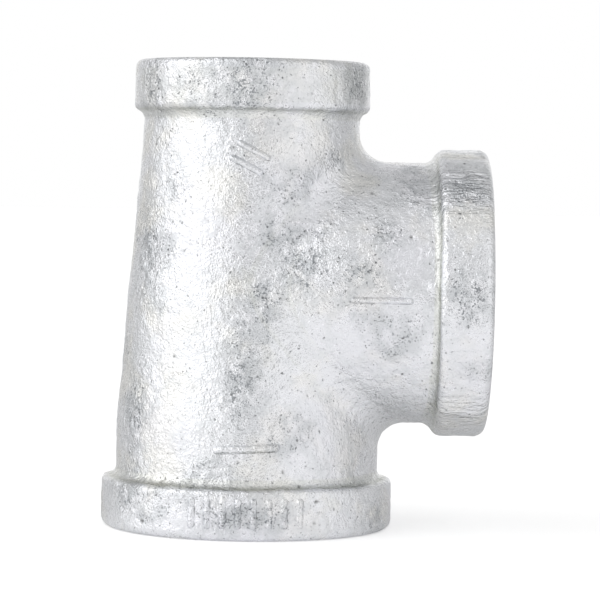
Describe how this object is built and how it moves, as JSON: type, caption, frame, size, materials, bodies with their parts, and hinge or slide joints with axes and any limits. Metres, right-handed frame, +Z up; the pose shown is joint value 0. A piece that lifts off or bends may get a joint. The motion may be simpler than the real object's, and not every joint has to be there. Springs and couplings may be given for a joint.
{
  "type": "tee fitting",
  "caption": "Galvanised malleable-iron reducing tee with banded female pipe-thread ends, for joining a branch pipe into a run.",
  "frame": {"origin": "centre of the large run end's face, which the tee stands on", "axes": "+Z up the run's axis towards the small end, +X out along the branch's axis, -Y the front with the raised marks"},
  "size_m": [0.0615, 0.047, 0.0749],
  "materials": {
    "zinc_casting": "hot-dip galvanised, light silver-grey, fine cast grain with small pits and drips",
    "cut_thread": "tapped after galvanising, bare machined iron with a film of oil",
    "raised_mark": "hot-dip galvanised, as the casting, brighter on its rubbed tops"
  },
  "bodies": {
    "root": {"centre_body": "zinc_casting", "large_run_band": "zinc_casting", "small_run_band": "zinc_casting", "branch_band": "zinc_casting", "large_run_thread": "cut_thread", "small_run_thread": "cut_thread", "branch_thread": "cut_thread", "large_run_size_mark": "raised_mark", "small_run_size_mark": "raised_mark", "branch_size_mark": "raised_mark", "batch_ticks": "raised_mark"}
  },
  "joints": []
}
